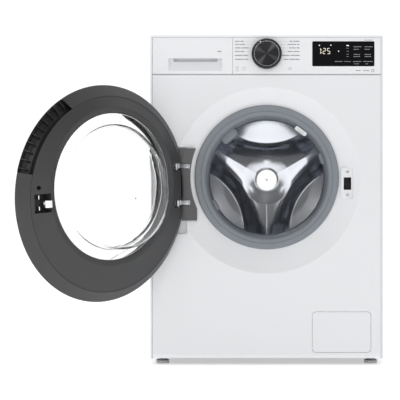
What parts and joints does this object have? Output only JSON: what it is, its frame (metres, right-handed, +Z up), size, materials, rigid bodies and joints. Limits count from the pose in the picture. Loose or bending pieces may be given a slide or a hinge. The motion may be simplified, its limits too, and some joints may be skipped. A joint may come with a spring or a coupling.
{
  "type": "front load washing machine",
  "caption": "Front load washing machine, door open: steel cabinet, drum with pressed back, glazed door, drawer, knob, display, service flap and levelling feet.",
  "frame": {"origin": "on the floor, in the middle of the rectangle of the four levelling feet", "axes": "+X to the right seen from the front, +Y towards the back, +Z up"},
  "size_m": [0.8686, 0.9425, 0.85],
  "materials": {
    "white_steel": "white enamel on sheet steel, semi gloss",
    "white_plastic": "white moulded plastic, semi gloss",
    "zinc_steel": "zinc plated sheet steel",
    "polished_steel": "polished stainless steel",
    "stainless": "stainless steel",
    "screw_steel": "bright plated screws",
    "cast_aluminium": "raw die cast aluminium",
    "gasket_rubber": "grey elastomer, satin",
    "door_grey": "dark grey moulded plastic, fine grain",
    "black_plastic": "black moulded plastic",
    "hinge_grey": "grey moulded plastic",
    "foot_grey": "dark grey plastic foot",
    "clear_glass": "clear pressed glass",
    "clear_window": "clear window",
    "black_window": "black gloss window over the display",
    "knob_black": "black knob with a spun face",
    "tray_plastic": "pale grey moulded plastic",
    "tub_plastic": "grey filled polypropylene",
    "concrete": "cast concrete",
    "board_green": "circuit board",
    "copper_winding": "enamelled copper winding",
    "spring_steel": "oiled spring steel",
    "rotor_steel": "plated steel cup",
    "white_nozzle": "white plastic nozzle"
  },
  "bodies": {
    "cabinet": {"side_panel_left": "white_steel", "side_panel_right": "white_steel", "rear_panel": "zinc_steel", "rear_cover": "zinc_steel", "base_pan": "black_plastic", "top_cross_bars": "zinc_steel", "worktop": "white_plastic", "front_panel": "white_steel", "control_panel": "white_plastic", "control_board": "board_green", "display_window": "black_window", "dispenser_housing": "tray_plastic", "dispenser_hose": "gasket_rubber", "inlet_valve": "black_plastic", "drain_outlet": "black_plastic", "power_gland": "black_plastic", "transit_bolt_caps": "tray_plastic", "door_lock": "black_plastic", "case_screws": "screw_steel", "hinge_bracket": "hinge_grey", "hinge_lugs": "stainless", "hinge_screws": "screw_steel", "gasket": "gasket_rubber", "spray_nozzle": "white_nozzle", "tub_front": "tub_plastic", "tub_rear": "tub_plastic", "bearings": "stainless", "counterweight_front": "concrete", "counterweight_top": "concrete", "heater": "stainless", "stator": "copper_winding", "suspension_springs": "spring_steel", "dampers": "spring_steel", "drain_pump": "black_plastic"},
    "drum": {"drum_shell": "polished_steel", "drum_front": "polished_steel", "drum_back": "polished_steel", "lifters": "tub_plastic", "hub_cap": "polished_steel", "drum_spider": "cast_aluminium", "drum_shaft": "stainless", "rotor": "rotor_steel"},
    "door": {"door_outer_frame": "door_grey", "door_inner_frame": "door_grey", "door_glass": "clear_glass", "door_window": "clear_window", "door_handle": "black_plastic", "door_hinge_leaf": "stainless", "hinge_pins": "stainless"},
    "door_hook": {"door_hook": "screw_steel"},
    "drawer": {"drawer_front": "white_plastic", "drawer_tray": "tray_plastic"},
    "knob": {"knob": "knob_black"},
    "service_flap": {"service_flap": "white_plastic"},
    "drain_filter": {"drain_filter": "tray_plastic"},
    "foot_front_left": {"foot_front_left": "foot_grey"},
    "foot_front_right": {"foot_front_right": "foot_grey"},
    "foot_rear_left": {"foot_rear_left": "foot_grey"},
    "foot_rear_right": {"foot_rear_right": "foot_grey"}
  },
  "joints": [
    {"name": "door_hinge", "type": "hinge", "parent": "cabinet", "child": "door", "pos_m": [-0.23, -0.2895, 0.466], "axis": [-0.0436, -0.0523, 0.9977], "range_deg": [-12, 132.9]},
    {"name": "hook_pivot", "type": "hinge", "parent": "door", "child": "door_hook", "pos_m": [-0.51927, -0.61181, 0.41939], "axis": [-0.0348, -0.1197, 0.9922], "range_deg": [0, 4.5], "stiffness_Nm_per_rad": 1, "springref_deg": -5.73},
    {"name": "drum_spin", "type": "hinge", "parent": "cabinet", "child": "drum", "pos_m": [0, -0.0175, 0.485], "axis": [0, 1, 0], "continuous": true},
    {"name": "drawer_slide", "type": "slide", "parent": "cabinet", "child": "drawer", "axis": [0, -1, 0], "range_m": [0, 0.25]},
    {"name": "knob_turn", "type": "hinge", "parent": "cabinet", "child": "knob", "pos_m": [0, -0.2675, 0.8016], "axis": [0, 1, 0], "continuous": true},
    {"name": "flap_hinge", "type": "hinge", "parent": "cabinet", "child": "service_flap", "pos_m": [0.1929, -0.2645, 0.0435], "axis": [1, 0, 0], "range_deg": [0, 100]},
    {"name": "filter_turn", "type": "hinge", "parent": "cabinet", "child": "drain_filter", "pos_m": [0.192, -0.2075, 0.084], "axis": [0, -1, 0], "range_deg": [0, 180]},
    {"name": "foot_front_left_adjust", "type": "slide", "parent": "cabinet", "child": "foot_front_left", "axis": [0, 0, -1], "range_m": [0, 0.015]},
    {"name": "foot_front_right_adjust", "type": "slide", "parent": "cabinet", "child": "foot_front_right", "axis": [0, 0, -1], "range_m": [0, 0.015]},
    {"name": "foot_rear_left_adjust", "type": "slide", "parent": "cabinet", "child": "foot_rear_left", "axis": [0, 0, -1], "range_m": [0, 0.015]},
    {"name": "foot_rear_right_adjust", "type": "slide", "parent": "cabinet", "child": "foot_rear_right", "axis": [0, 0, -1], "range_m": [0, 0.015]}
  ]
}
